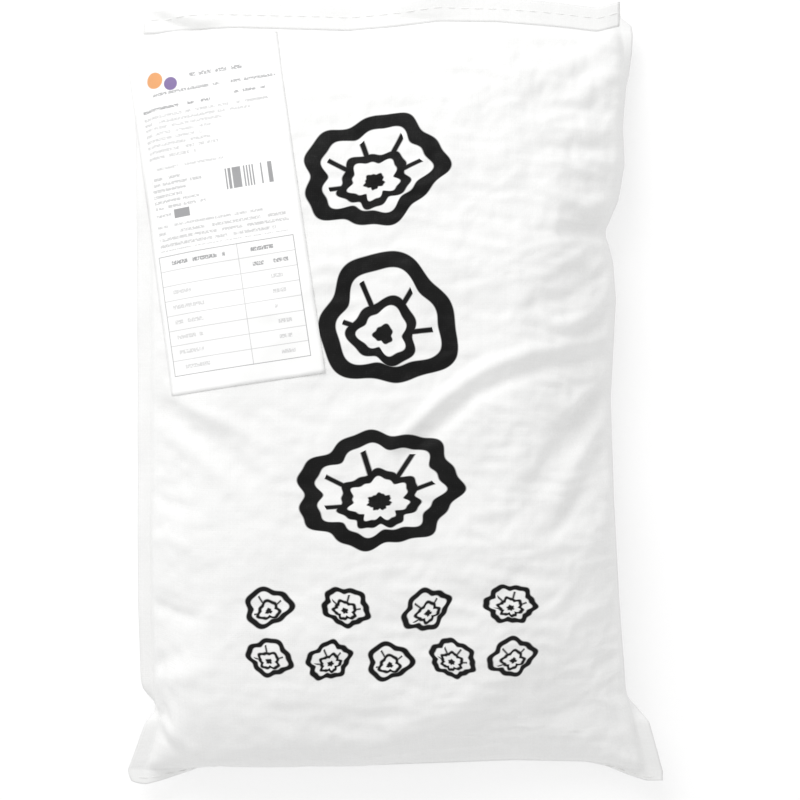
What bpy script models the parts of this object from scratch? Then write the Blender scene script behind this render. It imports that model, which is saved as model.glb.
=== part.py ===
"""A filled woven sack of dried wood ear mushroom, lying on its back.

The sack is one tube of woven cloth, sewn shut across both ends and stuffed, so it is a
pillow with a flat margin all round: a pressed fold, the lip, down each long side, and a
sewn hem across each end. X runs across the sack, Y along it with the sewn mouth at +Y,
and Z up from the surface that it lies on. All lengths are in metres.
"""

import math

import bmesh
import bpy
from mathutils import Matrix, Vector

# The flat sack, before it was filled.
FLAT_WIDTH = 0.335
FLAT_LENGTH = 0.500
LIP_WIDTH = 0.010
HEM_WIDTH = 0.016
MARGIN_THICKNESS = 0.0024

# The filled sack's outline seen from above, corner to corner. Each side runs from the
# sack's lower end to its mouth, and each end from the left side to the right.
LOWER_LEFT, LOWER_RIGHT = (-0.168, -0.2425), (0.168, -0.238)
UPPER_LEFT, UPPER_RIGHT = (-0.166, 0.233), (0.150, 0.231)
LEFT_SIDE = [LOWER_LEFT, (-0.151, -0.198), (-0.156, -0.125), (-0.160, -0.050),
             (-0.161, 0.025), (-0.162, 0.100), (-0.163, 0.175), UPPER_LEFT]
RIGHT_SIDE = [LOWER_RIGHT, (0.150, -0.198), (0.143, -0.125), (0.138, -0.050),
              (0.137, 0.025), (0.136, 0.100), (0.143, 0.175), UPPER_RIGHT]
LOWER_END = [LOWER_LEFT, (-0.114, -0.236), (-0.056, -0.235), (0.000, -0.234),
             (0.056, -0.233), (0.114, -0.234), LOWER_RIGHT]
UPPER_END = [UPPER_LEFT, (-0.116, 0.238), (-0.058, 0.241), (0.000, 0.2425),
             (0.052, 0.242), (0.100, 0.238), UPPER_RIGHT]

# Heights above the surface. The filling has settled towards the lower end.
SEAM_HEIGHT = 0.030
END_DROP = 0.010
CORNER_DROP = 0.011
MARGIN_DROP = 0.004
CROWN_HEIGHT = 0.076
CROWN_SLOPE = 0.010
BELLY_DEPTH = 0.060

# The paper label: about a third of an A4 sheet, stuck on the upper left of the face.
LABEL_WIDTH = 0.094
LABEL_LENGTH = 0.210
LABEL_THICKNESS = 0.0006
LABEL_CENTRE = (-0.097, 0.108)
LABEL_TILT = math.radians(8.0)
LABEL_GAP = 0.0008

# The closing threads, a chain stitch along the middle of each hem.
THREAD_DIAMETER = 0.0016
THREAD_INSET = 0.008
THREAD_POINTS = 36
PIECE_GAP = 0.0003

BODY_COLUMNS, BODY_ROWS = 12, 18
LABEL_COLUMNS, LABEL_ROWS = 12, 22


def clear_scene():
    for obj in list(bpy.data.objects):
        bpy.data.objects.remove(obj)


def material(name, colour, roughness):
    made = bpy.data.materials.new(name)
    made.use_nodes = True
    shader = made.node_tree.nodes["Principled BSDF"]
    shader.inputs["Base Color"].default_value = (*colour, 1.0)
    shader.inputs["Roughness"].default_value = roughness
    shader.inputs["Metallic"].default_value = 0.0
    return made


def along(points, t):
    """The point at t, from 0 to 1, of a smooth curve through these points."""
    spans = len(points) - 1
    span = min(int(t * spans), spans - 1)
    f = t * spans - span
    b, c = Vector(points[span]), Vector(points[span + 1])
    a = Vector(points[span - 1]) if span else 2 * b - c
    d = Vector(points[span + 2]) if span + 2 <= spans else 2 * c - b
    return 0.5 * (2 * b + (c - a) * f + (2 * a - 5 * b + 4 * c - d) * f**2
                  + (3 * b - a - 3 * c + d) * f**3)


def plan(u, v):
    """Where the flat sack's point (u, v), each from 0 to 1, lies once the sack is full."""
    ends = along(LOWER_END, u) * (1 - v) + along(UPPER_END, u) * v
    sides = along(LEFT_SIDE, v) * (1 - u) + along(RIGHT_SIDE, v) * u
    lower = Vector(LOWER_LEFT) * (1 - u) + Vector(LOWER_RIGHT) * u
    upper = Vector(UPPER_LEFT) * (1 - u) + Vector(UPPER_RIGHT) * u
    return ends + sides - lower * (1 - v) - upper * v


def in_body(fraction, margin):
    """A flat coordinate as -1 to 1 across the stuffed part, and how far it is in the margin."""
    place = (2 * fraction - 1) / (1 - 2 * margin)
    beyond = max(0.0, abs(2 * fraction - 1) - (1 - 2 * margin)) / (2 * margin)
    return max(-1.0, min(1.0, place)), beyond


def heights(u, v):
    """The heights of the sack's face and back at the flat sack's point (u, v)."""
    s, lip = in_body(u, LIP_WIDTH / FLAT_WIDTH)
    t, hem = in_body(v, HEM_WIDTH / FLAT_LENGTH)
    seam = SEAM_HEIGHT - END_DROP * t**4 - CORNER_DROP * (s * t) ** 6
    seam -= MARGIN_DROP * max(lip, hem)
    fullness = ((1 - abs(s) ** 2.4) * (1 - abs(t) ** 3.2)) ** 0.6
    crown = CROWN_HEIGHT - CROWN_SLOPE * t
    face = seam + MARGIN_THICKNESS / 2 + (crown - seam) * fullness
    back = seam - MARGIN_THICKNESS / 2 - BELLY_DEPTH * fullness**0.8
    return face, max(0.0, back)


def grid_lines(margin, cells):
    """The flat coordinates of the cage's lines: one cell of margin each side, and cells
    that grow narrower towards the seam."""
    body = [0.5 - (0.5 - margin) * math.cos(math.pi * i / cells) for i in range(cells + 1)]
    return [0.0, *body, 1.0]


def slab(columns, rows):
    """A closed slab of cells, one cell thick, and its vertices by (column, row, layer)."""
    mesh = bmesh.new()
    bmesh.ops.create_grid(mesh, x_segments=columns, y_segments=rows, size=0.5)
    mesh.verts.ensure_lookup_table()
    lower = {}
    for vertex in mesh.verts:
        column, row = round((vertex.co.x + 0.5) * columns), round((vertex.co.y + 0.5) * rows)
        lower[vertex] = (column, row)
    made = bmesh.ops.extrude_face_region(mesh, geom=mesh.faces[:], use_keep_orig=True)
    upper = [item for item in made["geom"] if isinstance(item, bmesh.types.BMVert)]
    places = {(*place, 0): vertex for vertex, place in lower.items()}
    for vertex in upper:
        column, row = round((vertex.co.x + 0.5) * columns), round((vertex.co.y + 0.5) * rows)
        places[(column, row, 1)] = vertex
    return mesh, places


def hold_rim(mesh, places, columns, rows):
    """Crease the slab's rim, so that rounding the slab doesn't draw its outline in."""
    crease = mesh.edges.layers.float.new("crease_edge")
    rim = {vertex for (column, row, _), vertex in places.items()
           if column in (0, columns) or row in (0, rows)}
    for edge in mesh.edges:
        if edge.verts[0] in rim and edge.verts[1] in rim:
            edge[crease] = 1.0


def finished(name, mesh, collection, surface):
    """A smooth object made of this mesh, its faces pointing out."""
    bmesh.ops.recalc_face_normals(mesh, faces=mesh.faces[:])
    data = bpy.data.meshes.new(name)
    mesh.to_mesh(data)
    mesh.free()
    data.materials.append(surface)
    data.shade_smooth()
    obj = bpy.data.objects.new(name, data)
    collection.objects.link(obj)
    return obj


def subdivide(obj, levels):
    modifier = obj.modifiers.new("Soft form", "SUBSURF")
    modifier.levels = levels
    modifier.render_levels = levels


def make_sack(collection):
    across = grid_lines(LIP_WIDTH / FLAT_WIDTH, BODY_COLUMNS)
    lengthwise = grid_lines(HEM_WIDTH / FLAT_LENGTH, BODY_ROWS)
    mesh, places = slab(len(across) - 1, len(lengthwise) - 1)
    for (column, row, layer), vertex in places.items():
        u, v = across[column], lengthwise[row]
        face, back = heights(u, v)
        vertex.co = (*plan(u, v), face if layer else back)
    hold_rim(mesh, places, len(across) - 1, len(lengthwise) - 1)
    cloth = material("woven_cloth", (0.86, 0.86, 0.85), 0.65)
    sack = finished("sack", mesh, collection, cloth)
    subdivide(sack, 1)
    return sack


def drop_onto(sack, x, y):
    """The place on the sack's face straight below a point, and the way it faces."""
    evaluated = sack.evaluated_get(bpy.context.evaluated_depsgraph_get())
    _, place, normal, _ = evaluated.ray_cast(Vector((x, y, 1.0)), Vector((0, 0, -1)))
    return place, normal


def make_label(collection, sack):
    mesh, places = slab(LABEL_COLUMNS, LABEL_ROWS)
    turn = Matrix.Rotation(LABEL_TILT, 2)
    for (column, row, layer), vertex in places.items():
        flat = Vector(((column / LABEL_COLUMNS - 0.5) * LABEL_WIDTH,
                       (row / LABEL_ROWS - 0.5) * LABEL_LENGTH))
        x, y = Vector(LABEL_CENTRE) + turn @ flat
        place, normal = drop_onto(sack, x, y)
        vertex.co = place + normal * (LABEL_GAP + layer * LABEL_THICKNESS)
    paper = material("label_paper", (0.93, 0.93, 0.93), 0.5)
    return finished("label", mesh, collection, paper)


def make_thread(name, collection, sack, v):
    """A thread along a hem, from lip to lip, at the flat sack's height v."""
    radius = THREAD_DIAMETER / 2
    curve = bpy.data.curves.new(name, "CURVE")
    curve.dimensions = "3D"
    curve.bevel_depth = radius
    curve.bevel_resolution = 2
    curve.use_fill_caps = True
    curve.materials.append(material(name, (0.90, 0.90, 0.88), 0.8))
    spline = curve.splines.new("POLY")
    spline.points.add(THREAD_POINTS - 1)
    end = LIP_WIDTH / FLAT_WIDTH / 2
    for i, point in enumerate(spline.points):
        u = end + (1 - 2 * end) * i / (THREAD_POINTS - 1)
        place, normal = drop_onto(sack, *plan(u, v))
        point.co = (*(place + normal * (PIECE_GAP + radius)), 1)
    thread = bpy.data.objects.new(name, curve)
    collection.objects.link(thread)
    return thread


def main():
    clear_scene()
    collection = bpy.data.collections.new("sack_of_wood_ear")
    bpy.context.scene.collection.children.link(collection)
    sack = make_sack(collection)
    make_label(collection, sack)
    inset = THREAD_INSET / FLAT_LENGTH
    make_thread("top_seam_thread", collection, sack, 1 - inset)
    make_thread("bottom_seam_thread", collection, sack, inset)


main()
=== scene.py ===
import math

import bpy
import numpy as np
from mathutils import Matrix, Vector, noise
from mathutils.bvhtree import BVHTree


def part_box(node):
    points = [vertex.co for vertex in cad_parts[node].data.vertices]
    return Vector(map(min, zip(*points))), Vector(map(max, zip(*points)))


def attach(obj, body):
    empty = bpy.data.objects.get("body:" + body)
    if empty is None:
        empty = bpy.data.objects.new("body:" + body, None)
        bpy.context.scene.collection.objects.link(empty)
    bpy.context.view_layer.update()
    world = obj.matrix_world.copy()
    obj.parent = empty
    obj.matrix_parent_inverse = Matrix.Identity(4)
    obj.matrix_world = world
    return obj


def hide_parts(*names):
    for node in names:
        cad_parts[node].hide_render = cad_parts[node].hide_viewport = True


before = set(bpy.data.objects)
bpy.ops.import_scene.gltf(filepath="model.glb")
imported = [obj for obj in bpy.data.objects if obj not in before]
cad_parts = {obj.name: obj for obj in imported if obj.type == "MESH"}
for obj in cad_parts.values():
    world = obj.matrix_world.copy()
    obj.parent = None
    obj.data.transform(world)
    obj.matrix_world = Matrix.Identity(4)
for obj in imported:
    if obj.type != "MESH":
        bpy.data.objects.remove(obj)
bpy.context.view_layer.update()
scene = bpy.context.scene
print("frame loaded")


# camera: straight above the sack, mouth end at the top of the frame
lookDown = {
    "height": 1.33,
    "over": (0.003, -0.005),
    "lens": 94.0,
}
camera = bpy.data.objects.new("camera", bpy.data.cameras.new("camera"))
camera.location = (*lookDown["over"], lookDown["height"])
camera.data.lens = lookDown["lens"]
scene.collection.objects.link(camera)
scene.camera = camera


# shader helpers

def put(tree, kind, inputs=None, **settings):
    node = tree.nodes.new("ShaderNode" + kind)
    for name, value in settings.items():
        setattr(node, name, value)
    for name, value in (inputs or {}).items():
        if isinstance(value, bpy.types.NodeSocket):
            tree.links.new(value, node.inputs[name])
        else:
            node.inputs[name].default_value = value
    return node


def calc(operation, *values, clamp=False):
    # a maths node in the tree that the values come from
    tree = next(value.id_data for value in values if isinstance(value, bpy.types.NodeSocket))
    node = put(tree, "Math", dict(enumerate(values)), operation=operation, use_clamp=clamp)
    return node.outputs[0]


def mul(a, b):
    return calc("MULTIPLY", a, b)


def plus(a, b):
    return calc("ADD", a, b)


def minus(a, b):
    return calc("SUBTRACT", a, b)


def ratio(a, b):
    return calc("DIVIDE", a, b)


def most(a, b):
    return calc("MAXIMUM", a, b)


def above(a, b):
    return calc("GREATER_THAN", a, b)


def below(a, b):
    return calc("LESS_THAN", a, b)


def axesOf(vector):
    return put(vector.id_data, "SeparateXYZ", {"Vector": vector}).outputs


def link(value, socket):
    socket.id_data.links.new(value, socket)


def bump(height, strength, distance, under=None):
    inputs = {"Height": height, "Strength": strength, "Distance": distance}
    if under is not None:
        inputs["Normal"] = under
    return put(height.id_data, "Bump", inputs).outputs[0]


def fade(value, low, high, top=1.0, bottom=0.0):
    # smooth step from bottom to top as value goes from low to high
    inputs = {"Value": value, "From Min": low, "From Max": high, "To Min": bottom, "To Max": top}
    return put(value.id_data, "MapRange", inputs, interpolation_type="SMOOTHSTEP").outputs["Result"]


def blendColour(factor, first, second):
    return put(factor.id_data, "Mix", {0: factor, 6: first, 7: second}, data_type="RGBA").outputs[2]


def randomAt(place):
    # one random value, 0 to 1, for each whole number
    return put(place.id_data, "TexWhiteNoise", {"W": place}, noise_dimensions="1D").outputs["Value"]


def newGroup(name, inputs, outputs):
    # inputs: name -> default (a number, or a triple for a vector)
    group = bpy.data.node_groups.new(name, "ShaderNodeTree")
    for label, value in inputs.items():
        kind = "NodeSocketFloat" if isinstance(value, (int, float)) else "NodeSocketVector"
        socket = group.interface.new_socket(label, in_out="INPUT", socket_type=kind)
        socket.default_value = value
    for label in outputs:
        group.interface.new_socket(label, in_out="OUTPUT", socket_type="NodeSocketFloat")
    source = group.nodes.new("NodeGroupInput").outputs
    sink = group.nodes.new("NodeGroupOutput").inputs
    return group, source, sink


def place(tree, group, inputs):
    return put(tree, "Group", inputs, node_tree=group).outputs


def newMaterial(name, **fixed):
    material = bpy.data.materials.new(name)
    material.use_nodes = True
    shader = material.node_tree.nodes["Principled BSDF"]
    for label, value in fixed.items():
        shader.inputs[label.replace("_", " ")].default_value = value
    return material, material.node_tree, shader


def mapped(tree, mapName):
    return put(tree, "UVMap", uv_map=mapName).outputs["UV"]


# shader groups that several finishes share

def makeMottle():
    # soft cloudy variation, 0 to 1 about 0.5
    group, source, sink = newGroup(
        "cloudyTone", {"Place": (0, 0, 0), "Scale": 30.0, "Detail": 4.0, "Spread": 0.5}, ["Tone"])
    cloud = put(group, "TexNoise", {"Vector": source["Place"], "Scale": source["Scale"],
                                    "Detail": source["Detail"], "Roughness": 0.6}).outputs["Fac"]
    away = mul(minus(cloud, 0.5), source["Spread"])
    link(plus(away, 0.5), sink["Tone"])
    return group


def makeFibre():
    # short streaks along one direction: paper fibre, spun thread, drawn tape
    group, source, sink = newGroup(
        "fineFibre", {"Place": (0, 0, 0), "Along": 400.0, "Across": 4000.0}, ["Height"])
    parts = axesOf(source["Place"])
    stretched = put(group, "CombineXYZ", {
        "X": mul(parts["X"], source["Across"]),
        "Y": mul(parts["Y"], source["Along"]),
        "Z": mul(parts["Z"], source["Across"])}).outputs[0]
    streaks = put(group, "TexNoise", {"Vector": stretched, "Scale": 1.0, "Detail": 2.0})
    link(streaks.outputs["Fac"], sink["Height"])
    return group


cloudyTone = makeMottle()
fineFibre = makeFibre()


# the sack's shape: a flat tube of cloth, filled by a cloth simulation

sackCut = {
    "tube": (0.333, 0.490),     # flat, between the side folds and between the two seams
    "lip": 0.010,               # pressed fold down each long side
    "hem": 0.016,               # folded and sewn across each end
    "clothThick": 0.0007,
    "cell": 0.0058,
    "finer": 3,
    "frames": 44,
    "litres": 7.4,
    "firmness": 0.28,
    "slackTop": 0.6,            # how much less the filling pushes at the mouth end
    "simScale": 10.0,           # cloth settings suit larger things
}
# the filled sack seen from above: the sides as (y, x) from the closed end to the mouth,
# the ends as (x, y) from left to right
outline = {
    "left": [(-0.2365, -0.1570), (-0.222, -0.1525), (-0.210, -0.1490), (-0.199, -0.1465),
             (-0.190, -0.1490), (-0.180, -0.1505), (-0.153, -0.1512), (-0.128, -0.1520),
             (-0.0665, -0.1523), (-0.005, -0.1525), (0.0565, -0.1528), (0.101, -0.1532),
             (0.146, -0.1535), (0.181, -0.1552), (0.200, -0.1575), (0.215, -0.1560),
             (0.2255, -0.1510)],
    "right": [(-0.2375, 0.1580), (-0.222, 0.1535), (-0.210, 0.1500), (-0.194, 0.1455),
              (-0.1855, 0.1427), (-0.153, 0.1402), (-0.128, 0.1384), (-0.0665, 0.1353),
              (-0.005, 0.1335), (0.0565, 0.1365), (0.080, 0.1347), (0.0984, 0.1298), (0.119, 0.1385),
              (0.141, 0.1421), (0.164, 0.1410), (0.1813, 0.1428), (0.1956, 0.1440), (0.2124, 0.1430),
              (0.2300, 0.1405)],
    "bottom": [(-0.1570, -0.2365), (-0.130, -0.2355), (-0.115, -0.2343), (-0.087, -0.2348),
               (-0.053, -0.2352), (-0.033, -0.2352), (0.000, -0.2342), (0.035, -0.2329),
               (0.076, -0.2314), (0.120, -0.2322), (0.136, -0.2335), (0.147, -0.2355),
               (0.1580, -0.2375)],
    "top": [(-0.1510, 0.2255), (-0.135, 0.2275), (-0.100, 0.2283), (-0.030, 0.2265), (0.000, 0.2290),
            (0.028, 0.2325), (0.065, 0.2318), (0.100, 0.2290), (0.127, 0.2262), (0.1405, 0.2300)],
}
# before it is filled: how square, and how high its seam and crown lie
startShape = {
    "across": 2.2,
    "along": 3.2,
    "round": 0.62,
    "seam": 0.029,
    "endDrop": 0.009,
    "cornerDrop": 0.006,
    "crown": 0.076,
}
# how far the margins reach out from the seams, and how far they hang
margins = {
    "leftLip": 0.0083,
    "leftTucked": 0.0060,
    "leftFlared": 0.0030,
    "rightLip": 0.0015,
    "rightAbove": 0.0062,
    "rightBelow": 0.0085,
    "rightHang": 0.009,
    "mouthHem": 0.0155,
    "lowerHem": 0.001,
    "leftEar": 0.0085,
    "rightEar": 0.0050,
    "lowerHang": 0.012,
    "wave": 0.0035,
}
# how the cloth of the simulation stretches, bends and is pushed out
clothFeel = {
    "quality": 5,
    "mass": 0.002,
    "tension_stiffness": 60,
    "compression_stiffness": 60,
    "shear_stiffness": 20,
    "bending_stiffness": 2,
    "tension_damping": 5,
    "compression_damping": 5,
    "shear_damping": 5,
    "bending_damping": 0.5,
    "air_damping": 2,
    "use_pressure": True,
    "uniform_pressure_force": 0,
    "use_pressure_volume": True,
    "target_volume": sackCut["litres"],
    "pressure_factor": sackCut["firmness"],
    "fluid_density": 0.006,
}
# the filling thins out towards each edge: least push, and how far in it is full
edgePush = {
    "left": (0.15, 0.060),
    "right": (0.80, 0.030),
    "bottom": (0.60, 0.040),
    "top": (0.25, 0.060),
}
# how far in from the closed end the roll reaches, and how far it goes under and down
endRoll = {"reach": 0.036, "under": 0.006, "down": 0.012}
# where the filling parts and the cloth sinks between: points, reach
hollows = [
    ([(-0.150, 0.000), (-0.103, -0.025), (-0.066, -0.053)], 0.014),
    ([(-0.001, -0.030), (0.024, -0.006), (0.054, 0.014), (0.100, 0.026), (0.135, 0.028)], 0.016),
]


def edgeAt(side, at):
    # the outline's x at a height along a side, or its y at a place across an end
    points = np.array(outline[side])
    return np.interp(at, points[:, 0], points[:, 1])


def filledPlace(u, v):
    # where a point of the flat sack lies, seen from above, once the sack is full
    left, right = np.array(outline["left"]), np.array(outline["right"])
    lowLeft, lowRight, highLeft, highRight = (
        line[end, ::-1] for end in (0, -1) for line in (left, right))
    leftY = lowLeft[1] * (1 - v) + highLeft[1] * v
    rightY = lowRight[1] * (1 - v) + highRight[1] * v
    lowX = lowLeft[0] * (1 - u) + lowRight[0] * u
    highX = highLeft[0] * (1 - u) + highRight[0] * u
    sides = ((1 - u) * np.array((edgeAt("left", leftY), leftY))
             + u * np.array((edgeAt("right", rightY), rightY)))
    ends = ((1 - v) * np.array((lowX, edgeAt("bottom", lowX)))
            + v * np.array((highX, edgeAt("top", highX))))
    low, high = (1 - u) * lowLeft + u * lowRight, (1 - u) * highLeft + u * highRight
    corners = (1 - v) * low + v * high
    return ends + sides - corners


def awayFromLine(x, y, points):
    # distance from a polyline, and how far along it the nearest point is (0 to 1)
    best = np.full(np.shape(x), 1e9)
    part = np.zeros(np.shape(x))
    total = len(points) - 1
    for k in range(total):
        (ax, ay), (bx, by) = points[k], points[k + 1]
        dx, dy = bx - ax, by - ay
        t = np.clip(((x - ax) * dx + (y - ay) * dy) / (dx * dx + dy * dy), 0, 1)
        off = np.hypot(x - ax - t * dx, y - ay - t * dy)
        closer = off < best
        best = np.where(closer, off, best)
        part = np.where(closer, (k + t) / total, part)
    return best, part


def flatLines(length, margin, cell):
    cells = round(length / cell)
    marginCells = max(1, round(margin / cell))
    body = np.linspace(-length / 2, length / 2, cells + 1)
    outer = np.linspace(-length / 2 - margin, -length / 2, marginCells + 1)[:-1]
    return np.concatenate([outer, body, -outer[::-1]]), marginCells


def marginOffset(s, t, beyondX, beyondY):
    # the margins lie flat at the left, the mouth and the corners, and hang down elsewhere
    flatEnd = np.clip((abs(s) - 0.74) / 0.26, 0, 1)
    flatSide = np.clip((t - 0.84) / 0.14 if t > 0 else (-t - 0.80) / 0.06, 0, 1)
    tucked = math.exp(-(((t + 0.81) / 0.035) ** 2))
    dx = dy = dz = 0.0
    if beyondX < 0:
        flared = np.clip((-t - 0.82) / 0.18, 0, 1)
        reach = margins["leftLip"] - margins["leftTucked"] * tucked + margins["leftFlared"] * flared
        dx = reach * beyondX
        dz = (0.002 + 0.006 * tucked) * beyondX
    if beyondX > 0:
        flat = margins["rightAbove"] if t > 0 else margins["rightBelow"]
        dx = (margins["rightLip"] + flat * flatSide) * beyondX
        dz = -margins["rightHang"] * (1 - flatSide) * beyondX
    if beyondY > 0:
        dy, dz = margins["mouthHem"] * beyondY, dz - 0.001 * beyondY
    if beyondY < 0:
        ear = margins["leftEar"] if s < 0 else margins["rightEar"]
        dy = (margins["lowerHem"] + ear * flatEnd) * beyondY
        dz += margins["lowerHang"] * (1 - flatEnd) * beyondY
    if beyondX < 0 and beyondY > 0:     # the mouth's left corner is round
        dx, dy = dx * math.sqrt(1 - beyondY**2 / 2), dy * math.sqrt(1 - beyondX**2 / 2)
    if beyondX > 0 and beyondY > 0:     # the hem stops short of the right side fold
        dx *= max(0.1, 1 - 2.5 * beyondY)
    if beyondX < 0 and beyondY < 0:
        dx, dy = dx * math.sqrt(1 - beyondY**2 / 3), dy * math.sqrt(1 - beyondX**2 / 3)
    return dx, dy, dz


def startPlaces(xs, ys, layer, puff):
    # layer: 1 face, -1 back, 0 the single sheet of the margins
    width, length = sackCut["tube"]
    grid = np.zeros((len(ys), len(xs), 3))
    for j, fy in enumerate(ys):
        for i, fx in enumerate(xs):
            s, t = np.clip((2 * fx / width, 2 * fy / length), -1, 1)
            x, y = filledPlace(s / 2 + 0.5, t / 2 + 0.5)
            square = (1 - abs(s) ** startShape["across"]) * (1 - abs(t) ** startShape["along"])
            full = square ** startShape["round"]
            seam = startShape["seam"] - startShape["endDrop"] * t**4
            seam -= startShape["cornerDrop"] * (s * t) ** 8
            rise = puff * (startShape["crown"] - seam) if layer > 0 else puff * 0.9 * seam
            beyondX = (fx - s * width / 2) / sackCut["lip"]
            beyondY = (fy - t * length / 2) / sackCut["hem"]
            dx, dy, dz = marginOffset(s, t, beyondX, beyondY)
            inside = abs(s) < 1 and abs(t) < 1
            height = seam + dz + layer * (rise * full + 0.001 * inside)
            grid[j, i] = (x + dx, y + dy, max(0.003, height))
    return grid


def fillSack(xs, ys, lipCells, hemCells):
    # the face and back grids after the filling has pushed the cloth out
    puff = 0.6
    face = startPlaces(xs, ys, 1, puff)
    back = startPlaces(xs, ys, -1, puff)
    margin = startPlaces(xs, ys, 0, puff)
    rows, cols = len(ys), len(xs)
    inner = np.zeros((rows, cols), bool)
    inner[hemCells + 1:rows - hemCells - 1, lipCells + 1:cols - lipCells - 1] = True
    face[~inner] = margin[~inner]
    back[~inner] = margin[~inner]

    faceIds = np.arange(rows * cols).reshape(rows, cols)
    backIds = faceIds.copy()
    backIds[inner] = rows * cols + np.arange(inner.sum())
    start = np.concatenate([face.reshape(-1, 3), back[inner]])
    flatX, flatY = np.meshgrid(xs, ys)
    flat = np.stack([flatX, flatY, np.where(inner, 0.021, 0.020)], -1)
    under = np.stack([flatX, flatY, np.full(flatX.shape, 0.019)], -1)[inner]
    flat = np.concatenate([flat.reshape(-1, 3), under])
    quads = []
    for j in range(rows - 1):
        for i in range(cols - 1):
            quads.append([faceIds[j, i], faceIds[j, i + 1],
                          faceIds[j + 1, i + 1], faceIds[j + 1, i]])
            if hemCells <= j < rows - 1 - hemCells and lipCells <= i < cols - 1 - lipCells:
                quads.append([backIds[j, i], backIds[j + 1, i],
                              backIds[j + 1, i + 1], backIds[j, i + 1]])

    scale = sackCut["simScale"]
    mesh = bpy.data.meshes.new("filling")
    mesh.from_pydata((start * scale).tolist(), [], [[int(n) for n in quad] for quad in quads])
    cage = bpy.data.objects.new("filling", mesh)
    scene.collection.objects.link(cage)
    cage.shape_key_add(name="Basis")
    relaxed = cage.shape_key_add(name="flat")
    relaxed.data.foreach_set("co", (flat * scale).ravel())

    # the filling pushes less towards the mouth, and hardly at all along the hollows
    upward = np.clip((flat[:, 1] / sackCut["tube"][1] + 0.5 - 0.15) / 0.7, 0, 1)
    push = 1 - sackCut["slackTop"] * upward
    for points, reach in hollows:
        off, _ = awayFromLine(flat[:, 0], flat[:, 1], points)
        push *= 1 - 0.75 * np.exp(-((off / reach) ** 2))
    halfWidth, halfLength = sackCut["tube"][0] / 2, sackCut["tube"][1] / 2
    gaps = {"left": flat[:, 0] + halfWidth, "right": halfWidth - flat[:, 0],
            "bottom": flat[:, 1] + halfLength, "top": halfLength - flat[:, 1]}
    for side, (least, reach) in edgePush.items():
        push *= least + (1 - least) * np.clip(gaps[side] / reach, 0, 1)
    seamOrMargin = np.zeros(len(flat), bool)
    outer = np.ones((rows, cols), bool)
    outer[hemCells:rows - hemCells, lipCells:cols - lipCells] = False
    seamOrMargin[faceIds[outer]] = True
    pressed = cage.vertex_groups.new(name="pressed")
    for index in np.nonzero(~seamOrMargin)[0]:
        pressed.add([int(index)], float(push[index]), "REPLACE")

    bpy.ops.mesh.primitive_plane_add(size=20)
    ground = bpy.context.object
    ground.modifiers.new("ground", "COLLISION")
    ground.collision.thickness_outer = 0.005
    ground.collision.cloth_friction = 20

    modifier = cage.modifiers.new("cloth", "CLOTH")
    cloth = modifier.settings
    cloth.rest_shape_key = relaxed
    for name, value in clothFeel.items():
        setattr(cloth, name, value)
    cloth.vertex_group_pressure = "pressed"
    modifier.collision_settings.distance_min = 0.01
    modifier.collision_settings.collision_quality = 2
    scene.frame_start, scene.frame_end = 1, sackCut["frames"]
    modifier.point_cache.frame_start, modifier.point_cache.frame_end = 1, sackCut["frames"]
    for step in range(1, sackCut["frames"] + 1):
        scene.frame_set(step)
    filled = cage.evaluated_get(bpy.context.evaluated_depsgraph_get()).to_mesh()
    moved = np.zeros(len(start) * 3)
    filled.vertices.foreach_get("co", moved)
    moved = moved.reshape(-1, 3) / scale
    bpy.data.objects.remove(cage)
    bpy.data.objects.remove(ground)
    scene.frame_set(1)
    return moved[faceIds], moved[backIds]


def rollEnd(face, back):
    # the closed end's seam is rolled under the filling, except at its two corners
    s = np.clip(2 * columnsAt / sackCut["tube"][0], -1, 1)
    lying = np.clip((np.abs(s) - 0.74) / 0.20, 0, 1)[None, :]
    away = (np.arange(face.shape[0]) - hemCells)[:, None] * sackCut["cell"]
    rolled = np.clip(1 - away / endRoll["reach"], 0, 1) ** 2 * (1 - lying)
    for grid in (face, back):
        grid[..., 1] += endRoll["under"] * rolled
        grid[..., 2] = np.maximum(0.003, grid[..., 2] - endRoll["down"] * rolled)
    return face, back


def settleOutline(face, back):
    # stretch the filled sack a little so that its sides and ends reach their places
    both = np.stack([face, back])
    lip, hem = lipCells * times, hemCells * times
    body, ends = slice(lip, face.shape[1] - lip), slice(hem, face.shape[0] - hem)

    def eased(values):
        return np.convolve(np.pad(values, 2, mode="edge"), np.array((1, 2, 3, 2, 1)) / 9, "valid")

    for axis, other, near, far in ((0, 1, "left", "right"), (1, 0, "bottom", "top")):
        flatView = both if axis == 0 else both.transpose(0, 2, 1, 3)
        inner = body if axis == 0 else ends
        part = flatView[:, :, inner]
        low, high = part[..., axis].min((0, 2)), part[..., axis].max((0, 2))
        first, last = part[0, :, 0], part[0, :, -1]
        if near == "left":
            low = first[:, axis]
        if far == "top":
            high = last[:, axis]
        moveLow = eased(edgeAt(near, first[:, other]) - low)
        moveHigh = eased(edgeAt(far, last[:, other]) - high)
        share = np.clip((flatView[..., axis] - low[:, None]) / (high - low)[:, None], 0, 1)
        flatView[..., axis] += moveLow[:, None] * (1 - share) + moveHigh[:, None] * share
    return both[0], both[1]


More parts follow.
